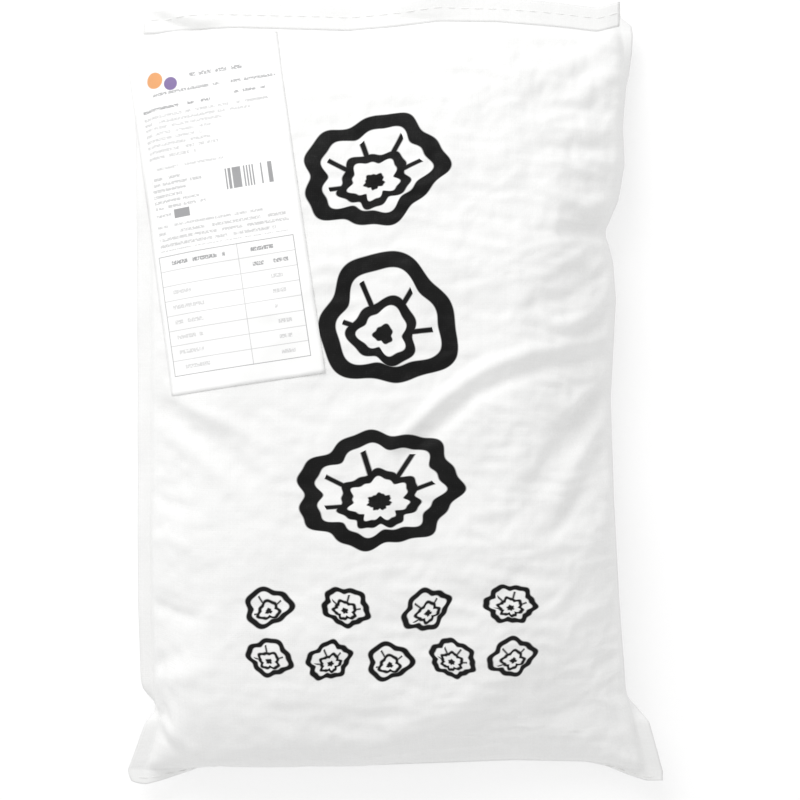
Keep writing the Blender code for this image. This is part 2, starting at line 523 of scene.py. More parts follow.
def finerMatrix(count, times):
    # Catmull-Rom steps between neighbouring points
    made = np.zeros(((count - 1) * times + 1, count))
    for row in range(made.shape[0]):
        span = min(row // times, count - 2)
        f = row / times - span
        weights = 0.5 * np.array([-f + 2 * f**2 - f**3, 2 - 5 * f**2 + 3 * f**3,
                                  f + 4 * f**2 - 3 * f**3, -f**2 + f**3])
        for offset, weight in zip((-1, 0, 1, 2), weights):
            at = span + offset
            if at < 0:
                made[row, 0] += 2 * weight
                made[row, 1] -= weight
            elif at > count - 1:
                made[row, count - 1] += 2 * weight
                made[row, count - 2] -= weight
            else:
                made[row, at] += weight
    return made


def finer(grid, times):
    lengthwise = np.tensordot(finerMatrix(grid.shape[0], times), grid, (1, 0))
    both = np.tensordot(finerMatrix(grid.shape[1], times), lengthwise, (1, 1))
    return np.moveaxis(both, 0, 1)


def layMargins(grid):
    # the lips and hems follow the seams that the filling has shaped, with their own creases
    lip, hem = lipCells * times, hemCells * times
    rows, cols = grid.shape[:2]
    laid = grid.copy()
    for j in range(rows):
        for i in range(cols):
            atRow, atCol = min(max(j, hem), rows - 1 - hem), min(max(i, lip), cols - 1 - lip)
            if atRow == j and atCol == i:
                continue
            s, t = 2 * fineX[atCol] / sackCut["tube"][0], 2 * fineY[atRow] / sackCut["tube"][1]
            beyondX = (fineX[i] - fineX[atCol]) / sackCut["lip"]
            beyondY = (fineY[j] - fineY[atRow]) / sackCut["hem"]
            x, y, z = grid[atRow, atCol]
            dx, dy, dz = marginOffset(s, t, beyondX, beyondY)
            if beyondY < 0:     # a low seam leaves less room for the hem to hang
                dz = max(dz, (z - hang["floor"]) * beyondY)
            wave = noise.noise(Vector((x * 22, y * 22, 4.0))) * margins["wave"]
            far = min(1.0, math.hypot(beyondX, beyondY))
            along = wave * 0.4 * (beyondY > 0) * far
            laid[j, i] = (x + dx, y + dy + along, max(0.002, z + dz + wave * far))
    laid[..., 2] += foldsAt(laid[..., 0], laid[..., 1]) * 0.6 * (1 - bodyShare())
    return laid


def clearBulge(face, back):
    # the hanging lip and hem stay outside the cloth that bulges beside them
    lip, hem = lipCells * times, hemCells * times
    both = np.stack([face, back])
    views = ((both[:, hem:-hem], lip, 0, 1), (both[:, ::-1, lip:-lip].swapaxes(1, 2), hem, 1, -1))
    for view, margin, axis, way in views:
        seam = view.shape[2] - 1 - margin
        for line in range(view.shape[1]):
            beside = view[:, line, seam - hang["near"]:seam + 1].reshape(-1, 3)
            for at in range(seam + 1, view.shape[2]):
                level = np.abs(beside[:, 2] - view[0, line, at, 2]) < hang["level"]
                if level.any():
                    least = (beside[level, axis] * way).max() + hang["clear"]
                    view[0, line, at, axis] = way * max(way * view[0, line, at, axis], least)
    return both[0]


def gridNormals(grid):
    across = np.gradient(grid, axis=1)
    lengthwise = np.gradient(grid, axis=0)
    normal = np.cross(across, lengthwise)
    return normal / np.maximum(np.linalg.norm(normal, axis=-1, keepdims=True), 1e-12)


def closedSheet(name, top, bottom, topMap, bottomMap, material, mapName):
    # two grids of the same size joined along their rims into one closed piece
    rows, cols = top.shape[:2]
    ids = np.arange(rows * cols).reshape(rows, cols)
    low = ids + rows * cols
    a, b, c, d = ids[:-1, :-1], ids[:-1, 1:], ids[1:, 1:], ids[1:, :-1]
    quads = [np.stack([a, b, c, d], -1).reshape(-1, 4)]
    a, b, c, d = low[:-1, :-1], low[1:, :-1], low[1:, 1:], low[:-1, 1:]
    quads.append(np.stack([a, b, c, d], -1).reshape(-1, 4))
    rim = np.concatenate([ids[0, :-1], ids[:-1, -1], ids[-1, :0:-1], ids[:0:-1, 0]])
    after = np.roll(rim, -1)
    quads.append(np.stack([rim, rim + rows * cols, after + rows * cols, after], -1))
    quads = np.concatenate(quads)
    mesh = bpy.data.meshes.new(name)
    places = np.concatenate([top.reshape(-1, 3), bottom.reshape(-1, 3)])
    mesh.from_pydata(places.tolist(), [], quads.tolist())
    layer = mesh.uv_layers.new(name=mapName)
    flat = np.concatenate([topMap.reshape(-1, 2), bottomMap.reshape(-1, 2)])
    layer.uv.foreach_set("vector", flat[quads.ravel()].astype(np.float32).ravel())
    mesh.materials.append(material)
    mesh.shade_smooth()
    piece = bpy.data.objects.new(name, mesh)
    scene.collection.objects.link(piece)
    return piece


# folds pressed into the face: points, height (ridge up, valley down), width
softFolds = [
    # the long arc across the middle
    ([(-0.004, -0.028), (0.022, -0.002), (0.038, 0.011), (0.055, 0.020), (0.076, 0.028),
      (0.132, 0.034)], 0.0036, 0.0034),
    ([(0.004, -0.034), (0.030, -0.010), (0.045, 0.003), (0.062, 0.011), (0.085, 0.018),
      (0.133, 0.022)], -0.0040, 0.0040),
    # the dip beside the label's lower end
    ([(-0.142, -0.006), (-0.122, -0.015), (-0.103, -0.026), (-0.090, -0.038), (-0.080, -0.050)],
     -0.0032, 0.0080),
    ([(-0.127, -0.002), (-0.100, -0.012), (-0.076, -0.026)], 0.0016, 0.0045),
    ([(-0.140, -0.020), (-0.112, -0.036), (-0.096, -0.052)], 0.0010, 0.0060),
    # fans below the arc, from the right side
    ([(0.119, -0.006), (0.098, -0.020), (0.082, -0.044), (0.069, -0.070)], -0.0027, 0.0066),
    ([(0.122, -0.015), (0.108, -0.030), (0.094, -0.052), (0.084, -0.072)], 0.0028, 0.0055),
    ([(0.128, -0.027), (0.116, -0.040), (0.104, -0.058), (0.092, -0.074)], -0.0026, 0.0050),
    ([(0.130, -0.050), (0.120, -0.064), (0.113, -0.090)], 0.0018, 0.0060),
    ([(0.131, 0.012), (0.110, 0.002), (0.088, -0.014)], 0.0022, 0.0050),
    ([(0.130, 0.002), (0.112, -0.006), (0.100, -0.016)], -0.0016, 0.0045),
    # puckers round the notch in the right side
    ([(0.130, 0.098), (0.116, 0.100), (0.096, 0.096), (0.074, 0.099)], -0.0022, 0.0035),
    ([(0.130, 0.092), (0.112, 0.088), (0.096, 0.078), (0.080, 0.070)], 0.0024, 0.0042),
    ([(0.132, 0.080), (0.114, 0.066), (0.096, 0.058), (0.078, 0.056)], -0.0022, 0.0040),
    ([(0.134, 0.070), (0.120, 0.054), (0.100, 0.044), (0.080, 0.040)], 0.0022, 0.0045),
    ([(0.134, 0.058), (0.120, 0.044), (0.104, 0.034)], -0.0018, 0.0040),
    ([(0.134, 0.110), (0.114, 0.112), (0.098, 0.118), (0.084, 0.126)], 0.0020, 0.0048),
    ([(0.136, 0.124), (0.118, 0.124), (0.104, 0.130)], -0.0018, 0.0040),
    # cross creases of the upper right
    ([(0.135, 0.148), (0.116, 0.147), (0.094, 0.150), (0.080, 0.146)], -0.0020, 0.0040),
    ([(0.137, 0.160), (0.118, 0.158), (0.096, 0.163)], 0.0018, 0.0045),
    ([(0.136, 0.172), (0.112, 0.172), (0.090, 0.178), (0.076, 0.176)], -0.0020, 0.0045),
    ([(0.136, 0.222), (0.120, 0.205), (0.100, 0.190), (0.086, 0.183)], 0.0017, 0.0065),
    ([(0.128, 0.206), (0.112, 0.192), (0.094, 0.187), (0.084, 0.178)], -0.0018, 0.0055),
    ([(0.138, 0.196), (0.122, 0.186), (0.106, 0.176)], 0.0018, 0.0050),
    # lower left, off the side fold
    ([(-0.146, -0.128), (-0.130, -0.131), (-0.112, -0.128)], -0.0018, 0.0042),
    ([(-0.144, -0.172), (-0.132, -0.160), (-0.122, -0.150)], -0.0024, 0.0050),
    ([(-0.138, -0.176), (-0.122, -0.166), (-0.110, -0.158)], 0.0016, 0.0050),
    ([(-0.146, -0.060), (-0.132, -0.066), (-0.118, -0.064)], -0.0014, 0.0045),
    ([(-0.146, -0.090), (-0.130, -0.086), (-0.112, -0.090)], 0.0012, 0.0050),
    ([(-0.146, -0.203), (-0.135, -0.213), (-0.123, -0.219)], -0.0017, 0.0042),
    ([(-0.140, -0.197), (-0.124, -0.206), (-0.110, -0.216)], 0.0020, 0.0050),
    # along the closed end
    ([(-0.023, -0.214), (0.021, -0.190), (0.057, -0.172), (0.093, -0.144)], 0.0022, 0.0100),
    ([(0.060, -0.196), (0.100, -0.186), (0.128, -0.174)], -0.0016, 0.0070),
    ([(0.140, -0.212), (0.124, -0.208), (0.106, -0.216)], 0.0012, 0.0060),
    ([(0.144, -0.224), (0.128, -0.219), (0.110, -0.222)], -0.0010, 0.0055),
    ([(-0.070, -0.184), (-0.040, -0.190), (-0.012, -0.186)], -0.0012, 0.0080),
    # the gathered corner of the mouth
    ([(-0.152, 0.238), (-0.140, 0.2315), (-0.126, 0.2270), (-0.112, 0.2290)], -0.0052, 0.0034),
    ([(-0.136, 0.2375), (-0.122, 0.2335), (-0.106, 0.2330)], 0.0030, 0.0034),
    ([(0.005, 0.2360), (0.016, 0.2340), (0.038, 0.2335)], -0.0020, 0.0028),
]
crumple = {
    "lump": (0.0021, 24.0),      # height, scale: the pieces inside
    "dent": (0.0010, 58.0),
    "crease": (0.0011, 78.0),
    "crinkle": (0.0004, 150.0),
    "rightShare": 1.25,          # the right half is the more creased
    "leftShare": 0.15,
}
# room that a hanging margin needs: above the floor, and beside the bulging cloth
hang = {"floor": 0.003, "clear": 0.0009, "level": 0.0022, "near": 12}
# bends smaller than this are left alone
kinks = {"free": 0.00022, "passes": 8}
# the lower right falls away beyond this line: two points, slope, how softly it turns, and
# how far in from the sides and ends it is whole
shoulder = {
    "from": (0.138, -0.092),
    "to": (-0.030, -0.217),
    "slope": 0.17,
    "soft": 0.008,
    "sideFade": 0.055,
    "endFade": 0.045,
}


def ridged(place, scale):
    return 1 - 2 * abs(noise.noise(place * scale))


def foldsAt(x, y):
    # how far the pressed folds raise or lower the cloth
    folds = np.zeros(x.shape)
    for points, height, width in softFolds:
        off, part = awayFromLine(x, y, points)
        ends = np.clip(np.minimum(part + 0.15, 1.10 - part) / 0.35, 0, 1)
        folds += height * ends * np.exp(-((off / width) ** 2))
    return folds


def shapeFace(grid):
    # folds, and the small forms of the pieces inside, along the face's normals
    x, y = grid[..., 0], grid[..., 1]
    push = foldsAt(x, y) - fallAway(x, y)
    shift = Vector((3.1, 7.7, 1.3))
    (lumpHigh, lumpScale), (dentHigh, dentScale) = crumple["lump"], crumple["dent"]
    (creaseHigh, creaseScale), (crinkleHigh, crinkleScale) = crumple["crease"], crumple["crinkle"]
    rightness = np.clip(x / 0.14 * 0.5 + 0.5, 0, 1)
    creased = crumple["leftShare"] * (1 - rightness) + crumple["rightShare"] * rightness
    for j in range(x.shape[0]):
        for i in range(x.shape[1]):
            at = Vector((x[j, i], y[j, i], 0.35)) + shift * 0.01
            warp = Vector((noise.noise(at * 40), noise.noise(at * 40 + shift), 0)) * 0.006
            push[j, i] += lumpHigh * noise.noise(at * lumpScale + shift)
            dented = dentHigh * (0.3 + 0.7 * creased[j, i])
            push[j, i] += dented * noise.noise((at + warp) * dentScale)
            lying = Vector((at.x * 0.5 + at.y * 0.2, at.y * 1.45, at.z)) + warp
            push[j, i] += creaseHigh * creased[j, i] * (ridged(lying, creaseScale) - 0.5)
            push[j, i] += crinkleHigh * creased[j, i] * (ridged(at + warp, crinkleScale) - 0.5)
    return grid + gridNormals(grid) * (push * bodyShare())[..., None]


def easeKinks(grid):
    # woven cloth is too stiff to turn this sharply
    for _ in range(kinks["passes"]):
        inner = grid[1:-1, 1:-1]
        mean = (grid[:-2, 1:-1] + grid[2:, 1:-1] + grid[1:-1, :-2] + grid[1:-1, 2:]) / 4
        off = np.linalg.norm(mean - inner, axis=-1, keepdims=True)
        inner += (mean - inner) * np.clip((off - kinks["free"]) / kinks["free"], 0, 0.7)
    return grid


def fallAway(x, y):
    (ax, ay), (bx, by) = shoulder["from"], shoulder["to"]
    run = math.hypot(bx - ax, by - ay)
    past = ((x - ax) * (ay - by) + (y - ay) * (bx - ax)) / run
    fall = shoulder["slope"] * 0.5 * (past + np.sqrt(past**2 + shoulder["soft"] ** 2))
    fromSide = np.clip((sackCut["tube"][0] / 2 - np.abs(flatX)) / shoulder["sideFade"], 0, 1)
    fromEnd = np.clip((sackCut["tube"][1] / 2 - np.abs(flatY)) / shoulder["endFade"], 0, 1)
    return fall * np.sin(fromSide * math.pi / 2) * np.sin(fromEnd * math.pi / 2)


def bodyShare():
    # 1 on the stuffed part, falling to 0 at the seams and margins
    width, length = sackCut["tube"]
    s = np.abs(flatX) / (width / 2)
    t = np.abs(flatY) / (length / 2)
    return np.clip((1 - s) / 0.06, 0, 1) * np.clip((1 - t) / 0.05, 0, 1)


columnsAt, lipCells = flatLines(sackCut["tube"][0], sackCut["lip"], sackCut["cell"])
rowsAt, hemCells = flatLines(sackCut["tube"][1], sackCut["hem"], sackCut["cell"])
faceGrid, backGrid = fillSack(columnsAt, rowsAt, lipCells, hemCells)
faceGrid, backGrid = rollEnd(faceGrid, backGrid)
print("sack filled")
times = sackCut["finer"]
fineX = finerMatrix(len(columnsAt), times) @ columnsAt
fineY = finerMatrix(len(rowsAt), times) @ rowsAt
flatX, flatY = np.meshgrid(fineX, fineY)
faceGrid, backGrid = finer(faceGrid, times), finer(backGrid, times)
faceGrid = easeKinks(shapeFace(faceGrid))
faceGrid, backGrid = settleOutline(faceGrid, backGrid)
# it rests on the floor and is as thick as the frame's sack
lowest = backGrid[..., 2].min()
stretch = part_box("sack")[1][2] / (faceGrid[..., 2].max() - lowest)
faceGrid[..., 2] = (faceGrid[..., 2] - lowest) * stretch
backGrid[..., 2] = (backGrid[..., 2] - lowest) * stretch
faceGrid = clearBulge(layMargins(faceGrid), backGrid)
onMargin = bodyShare() == 0
backGrid[onMargin] = faceGrid[onMargin]
half = sackCut["clothThick"] / 2
faceGrid = faceGrid + gridNormals(faceGrid) * half
backGrid = backGrid - gridNormals(backGrid) * half
backGrid[..., 2] = np.maximum(backGrid[..., 2], 0.0)
faceGrid[onMargin, 2] = np.maximum(faceGrid[onMargin, 2], backGrid[onMargin, 2] + half)
print("sack shaped", faceGrid.shape)


# woven cloth and its print

weaveLook = {
    "tape": 0.0013,             # width of one flat tape
    "white": (0.85, 0.85, 0.845, 1),
    # the darker cloth colour, used for painted shade in the dips between tapes and for the cloth's
    # random tone
    "shade": (0.75, 0.75, 0.742, 1),
    "ink": (0.004, 0.004, 0.004, 1),
    "thinInk": (0.009, 0.009, 0.009, 1),
}


def makeWeave():
    group, source, sink = newGroup(
        "tapeWeave", {"Place": (0, 0, 0), "Tape": 0.0013}, ["Height", "Gap", "Tone"])
    parts = axesOf(source["Place"])
    x, y = ratio(parts["X"], source["Tape"]), ratio(parts["Y"], source["Tape"])
    i, j = calc("FLOOR", x), calc("FLOOR", y)
    fx, fy = minus(calc("FRACT", x), 0.5), minus(calc("FRACT", y), 0.5)
    over = calc("FLOORED_MODULO", plus(i, j), 2.0)

    def tapeHeight(across, lengthwise):
        edge = calc("POWER", calc("ABSOLUTE", mul(across, 2.0)), 6.0)
        bow = calc("COSINE", mul(lengthwise, math.pi))
        return mul(minus(1.0, mul(edge, 0.6)), calc("MULTIPLY_ADD", bow, 0.55, 0.45))

    def pick(first, second):
        return plus(mul(first, over), mul(second, minus(1.0, over)))

    height = pick(tapeHeight(fx, fy), tapeHeight(fy, fx))
    link(height, sink["Height"])
    link(fade(height, 0.55, 0.2), sink["Gap"])
    link(pick(randomAt(i), randomAt(plus(j, 517.3))), sink["Tone"])
    return group


def makeEarMark():
    # a plain stencil of one wood ear: a frilled cup with an inner fold and a few veins
    group, source, sink = newGroup(
        "earMark", {"Place": (0, 0, 0), "Across": 0.0, "Along": 0.0, "Half Width": 0.045,
                    "Half Height": 0.033, "Turn": 0.0, "Lobes": 5.0, "Wave": 0.06, "Stroke": 0.009,
                    "Veins": 7.0}, ["Ink"])
    parts = axesOf(source["Place"])
    x, y = minus(parts["X"], source["Across"]), minus(parts["Y"], source["Along"])
    cosTurn, sinTurn = calc("COSINE", source["Turn"]), calc("SINE", source["Turn"])
    across = ratio(plus(mul(x, cosTurn), mul(y, sinTurn)), source["Half Width"])
    up = ratio(minus(mul(y, cosTurn), mul(x, sinTurn)), source["Half Height"])
    stroke = ratio(source["Stroke"], plus(source["Half Width"], source["Half Height"]))
    soft = ratio(0.0005, source["Half Height"])

    def polar(lift):
        raised = plus(up, lift)
        squares = plus(mul(across, across), mul(raised, raised))
        return calc("SQRT", squares), calc("ARCTAN2", raised, across)

    def frill(angle, size, wave, start):
        wide = calc("MULTIPLY_ADD", angle, source["Lobes"], start)
        doubled = calc("MULTIPLY_ADD", source["Lobes"], 2.0, 1.0)
        narrow = calc("MULTIPLY_ADD", angle, doubled, 1.3)
        waves = calc("MULTIPLY_ADD", calc("COSINE", narrow), 0.45, calc("COSINE", wide))
        swell = mul(mul(waves, source["Wave"]), wave)
        return plus(plus(swell, size), mul(calc("SINE", angle), 0.06))

    def inkedTo(value, limit):
        # ink up to the limit, with a soft edge
        return fade(minus(value, limit), soft, mul(soft, -1.0))

    radius, angle = polar(0.0)
    rimLine = frill(angle, 0.84, 1.0, 0.4)
    rim = inkedTo(calc("ABSOLUTE", minus(radius, rimLine)), stroke)
    innerRadius, innerAngle = polar(0.16)
    foldLine = frill(innerAngle, 0.40, 0.7, 1.9)
    fold = inkedTo(calc("ABSOLUTE", minus(innerRadius, foldLine)), mul(stroke, 0.62))
    heart = inkedTo(innerRadius, mul(foldLine, 0.34))
    turnShare = mul(innerAngle, ratio(source["Veins"], 2 * math.pi))
    offVein = calc("ABSOLUTE", minus(calc("FRACT", turnShare), 0.5))
    veinWidth = ratio(mul(mul(offVein, innerRadius), 2 * math.pi), source["Veins"])
    outside = mul(above(innerRadius, foldLine), above(up, -0.22))
    within = below(radius, minus(rimLine, mul(stroke, 1.7)))
    vein = mul(inkedTo(veinWidth, mul(stroke, 0.32)), mul(outside, within))
    link(most(most(rim, fold), most(heart, vein)), sink["Ink"])
    return group


tapeWeave = makeWeave()
earMark = makeEarMark()

# printed marks: x, y on the filled face, half width, half height, turn, lobes, frill, stroke, veins
printedMarks = [
    (-0.012, 0.133, 0.049, 0.036, 0.10, 5, 0.070, 0.0105, 9),
    (-0.005, 0.040, 0.048, 0.041, -0.35, 3, 0.085, 0.0110, 7),
    (-0.009, -0.060, 0.056, 0.037, 0.05, 7, 0.055, 0.0105, 9),
    (-0.0757, -0.1300, 0.0165, 0.0125, 0.2, 3, 0.10, 0.0037, 5),
    (-0.0293, -0.1305, 0.0165, 0.0125, -0.3, 5, 0.07, 0.0037, 6),
    (0.0195, -0.1310, 0.0170, 0.0125, 0.5, 4, 0.09, 0.0037, 5),
    (0.0698, -0.1290, 0.0175, 0.0125, 0.0, 6, 0.07, 0.0037, 7),
    (-0.0757, -0.1610, 0.0155, 0.0120, -0.2, 4, 0.08, 0.0035, 5),
    (-0.0400, -0.1620, 0.0155, 0.0120, 0.4, 5, 0.08, 0.0035, 6),
    (-0.0030, -0.1625, 0.0155, 0.0120, 0.1, 3, 0.10, 0.0035, 5),
    (0.0340, -0.1620, 0.0160, 0.0120, -0.4, 6, 0.06, 0.0035, 7),
    (0.0715, -0.1610, 0.0165, 0.0120, 0.3, 4, 0.09, 0.0035, 5),
]


def flatPlaceOf(x, y):
    # the flat sack's point that lies under x, y on the filled face
    off = (faceGrid[..., 0] - x) ** 2 + (faceGrid[..., 1] - y) ** 2
    j, i = np.unravel_index(np.argmin(off), off.shape)
    return float(flatX[j, i]), float(flatY[j, i])


def makeClothMaterial():
    material, tree, shader = newMaterial("wovenCloth", Metallic=0.0, Specular_IOR_Level=0.12)
    at = mapped(tree, "clothMap")
    weave = place(tree, tapeWeave, {"Place": at, "Tape": weaveLook["tape"]})
    broad = place(tree, cloudyTone, {"Place": at, "Scale": 16.0, "Detail": 3.0,
                                     "Spread": 1.0})["Tone"]
    fine = place(tree, cloudyTone, {"Place": at, "Scale": 420.0, "Detail": 3.0,
                                    "Spread": 1.2})["Tone"]
    fibre = place(tree, fineFibre, {"Place": at, "Along": 260.0, "Across": 5200.0})["Height"]
    # painted shade: the dips between the tapes take the darker cloth colour; the tapes' own tone and
    # the broad cloud are the cloth's random tone
    gapShadeAndTone = plus(mul(weave["Gap"], 0.35), mul(weave["Tone"], 0.18))
    gapShadeAndTone = calc("ADD", gapShadeAndTone, mul(minus(broad, 0.5), 0.45), clamp=True)
    base = blendColour(gapShadeAndTone, weaveLook["white"], weaveLook["shade"])
    ink = None
    for x, y, halfWidth, halfHeight, turn, lobes, wave, stroke, veins in printedMarks:
        across, lengthwise = flatPlaceOf(x, y)
        mark = place(tree, earMark, {
            "Place": at, "Across": across, "Along": lengthwise, "Half Width": halfWidth,
            "Half Height": halfHeight, "Turn": turn, "Lobes": lobes, "Wave": wave,
            "Stroke": stroke, "Veins": veins})["Ink"]
        ink = mark if ink is None else most(ink, mark)
    # the ink sits on the tapes' tops and misses some of the dips between them
    missed = mul(weave["Gap"], fade(fine, 0.45, 0.75, 0.05))
    covered = mul(ink, mul(minus(1.0, missed), fade(fine, 0.98, 0.7, 1.0, 0.97)))
    inkTone = blendColour(fade(broad, 0.3, 0.7), weaveLook["ink"], weaveLook["thinInk"])
    link(blendColour(covered, base, inkTone), shader.inputs["Base Color"])
    rough = minus(plus(0.52, mul(weave["Tone"], 0.14)), mul(covered, 0.08))
    link(rough, shader.inputs["Roughness"])
    weaveBump = bump(plus(weave["Height"], mul(fibre, 0.25)), 0.55, 0.00012)
    wrinkle = put(tree, "TexNoise", {"Vector": at, "Scale": 150.0, "Detail": 4.0,
                                     "Distortion": 0.8}).outputs["Fac"]
    link(bump(wrinkle, 0.5, 0.0006, weaveBump), shader.inputs["Normal"])
    return material


cloth = makeClothMaterial()
faceMap = np.stack([flatX, flatY], -1)
backMap = np.stack([flatX + 1.0, flatY], -1)    # well away from the print
sackPiece = closedSheet("wovenSack", faceGrid, backGrid, faceMap, backMap, cloth, "clothMap")
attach(sackPiece, "root")
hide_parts("sack")
print("cloth woven and printed")


# folded hems across both ends

hemLook = {"thick": 0.0004, "gap": 0.0001}


def makeHem(name, atTop):
    # the cloth's end folded over: onto the face at the mouth, and under at the closed end
    rowsDeep = hemCells * times
    grid = faceGrid if atTop else backGrid
    rows = slice(-1 - rowsDeep, None) if atTop else slice(0, rowsDeep + 1)
    columns = slice(1, -lipCells * times if atTop else -1)
    strip, flat = grid[rows, columns], faceMap[rows, columns] + (0.4, 0.013)
    normal = gridNormals(strip) * (1 if atTop else -1)
    share = np.linspace(1, 0, strip.shape[0]) if atTop else np.linspace(0, 1, strip.shape[0])
    thick = hemLook["thick"] * (1 - 0.75 * share**3)    # pressed thin at its free edge
    inner = strip + normal * hemLook["gap"]
    outer = inner + normal * thick[:, None, None]
    for layer in (inner, outer):
        layer[..., 2] = np.maximum(layer[..., 2], 0.0002)
    high, low = (outer, inner) if atTop else (inner, outer)
    piece = closedSheet(name, high, low, flat, flat + (0.5, 0), cloth, "clothMap")
    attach(piece, "root")
    return piece


topHem = makeHem("topHem", True)
bottomHem = makeHem("bottomHem", False)
print("hems folded")


# chain stitch that closes each end

stitchLook = {
    "length": 0.0085,
    "thread": 0.0006,
    "inset": 0.0080,
    "points": 8,                # along each stitch
    "dip": 0.0004,
    "loopWide": 0.0011,
    "loopDeep": 0.0003,
    # the darker thread colour, painted shade in the grooves of the twist
    "shade": (0.80, 0.80, 0.79, 1),
    "white": (0.88, 0.88, 0.87, 1),
    "dust": (0.74, 0.74, 0.72, 1),
}


def makeThreadMaterial():
    material, tree, shader = newMaterial("closingThread", Roughness=0.85)
    at = put(tree, "TexCoord").outputs["Object"]
    twist = place(tree, fineFibre, {"Place": at, "Along": 900.0, "Across": 1500.0})["Height"]
    dusty = place(tree, cloudyTone, {"Place": at, "Scale": 60.0, "Spread": 1.0})["Tone"]
    # painted shade: the twist's low streaks, which the bump also sinks, take the darker thread
    # colour
    twistShaded = blendColour(fade(twist, 0.3, 0.7), stitchLook["shade"], stitchLook["white"])
    dusted = blendColour(fade(dusty, 0.5, 0.9, 0.3), twistShaded, stitchLook["dust"])
    link(dusted, shader.inputs["Base Color"])
    link(bump(twist, 0.6, 0.0002), shader.inputs["Normal"])
    return material


threadFinish = makeThreadMaterial()


def threadCurve(name, points):
    curve = bpy.data.curves.new(name, "CURVE")
    curve.dimensions = "3D"
    curve.bevel_depth = stitchLook["thread"] / 2
    curve.bevel_resolution = 2
    curve.use_fill_caps = True
    curve.materials.append(threadFinish)
    spline = curve.splines.new("POLY")
    spline.points.add(len(points) - 1)
    for point, at in zip(spline.points, points):
        point.co = (*at, 1)
    piece = bpy.data.objects.new(name, curve)
    scene.collection.objects.link(piece)
    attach(piece, "root")
    return piece


def sewSeam(name, atTop, node):
    rowAt = stitchLook["inset"] / (sackCut["hem"] / (hemCells * times))
    row = faceGrid.shape[0] - 1 - round(rowAt) if atTop else round(rowAt)
    ends = lipCells * times // 2
    line = faceGrid[row, ends:-ends]
    under = backGrid[row, ends:-ends]
    up = gridNormals(faceGrid)[row, ends:-ends]
    steps = np.linalg.norm(np.diff(line, axis=0), axis=1)
    run = np.concatenate([[0], np.cumsum(steps)])
    count = round(run[-1] / stitchLook["length"])
    radius = stitchLook["thread"] / 2
    rise = radius + (hemLook["gap"] + hemLook["thick"] if atTop else 0.0001)
    fall = radius + (0.0003 if atTop else hemLook["gap"] + hemLook["thick"] + 0.0002)
    face, chain = [], []
    points = stitchLook["points"]
    for step in range(count * points + 1):
        s = run[-1] * step / (count * points)
        phase = (step % points) / points
        at = np.array([np.interp(s, run, line[:, k]) for k in range(3)])
        below = np.array([np.interp(s, run, under[:, k]) for k in range(3)])
        normal = np.array([np.interp(s, run, up[:, k]) for k in range(3)])
        # on the face each stitch dips into the needle hole at its ends
        nearHole = abs(2 * phase - 1) ** 3
        high = rise * (1 - nearHole) - stitchLook["dip"] * nearHole - radius * 0.5
        face.append(at + normal * high)
        swing = stitchLook["loopWide"] * math.sin(2 * math.pi * phase)
        drop = fall + stitchLook["loopDeep"] * math.cos(4 * math.pi * phase)
        chain.append(below - normal * drop + np.array((0, swing, 0)))
    facePiece = threadCurve(name + "Stitches", face)
    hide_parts(node)
    threadCurve(name + "Chain", chain)


sewSeam("top", True, "top_seam_thread")
sewSeam("bottom", False, "bottom_seam_thread")
print("seams sewn")


# paper label

labelLook = {
    "size": (0.0962, 0.2165),
    "centre": (-0.1055, 0.1115),
    "turn": math.radians(8.5),
    "thick": 0.00022,
    "gap": 0.00035,
    "rise": 0.0001,             # most that the paper is lifted by a bump between its points
    "cells": (38, 84),
    "easing": 60,
    "topLift": 0.0006,
    "lowLift": 0.0005,
    "white": (0.90, 0.90, 0.895, 1),
    "shade": (0.84, 0.84, 0.835, 1),
    "print": (0.25, 0.25, 0.26, 1),
}


def makeWordLines():
    # rows of short broken dashes, like a column of small print too small to read
    group, source, sink = newGroup(
        "wordLines", {"Place": (0, 0, 0), "Left": 0.0, "Right": 0.08, "Bottom": 0.0, "Top": 0.03,
                      "Pitch": 0.004, "Weight": 0.4, "Seed": 0.0, "Ragged": 0.3}, ["Ink"])
    parts = axesOf(source["Place"])
    x, y = parts["X"], parts["Y"]
    down = ratio(minus(source["Top"], y), source["Pitch"])
    row = plus(calc("FLOOR", down), source["Seed"])
    inRow = below(calc("FRACT", down), source["Weight"])
    short = mul(mul(randomAt(row), source["Ragged"]), minus(source["Right"], source["Left"]))

    def scattered(across, lengthwise, detail):
        at = put(group, "CombineXYZ", {"X": across, "Y": lengthwise}).outputs[0]
        return put(group, "TexNoise", {"Vector": at, "Scale": 1.0, "Detail": detail}).outputs["Fac"]

    word = scattered(mul(x, 190.0), mul(row, 7.31), 0.0)
    letter = scattered(mul(x, 950.0), mul(y, 900.0), 1.0)
    ink = mul(fade(word, 0.34, 0.41), fade(letter, 0.34, 0.52))
    for test in (above(x, source["Left"]), below(x, minus(source["Right"], short)),
                 above(y, source["Bottom"]), below(y, source["Top"]), inRow):
        ink = mul(ink, test)
    link(ink, sink["Ink"])
    return group


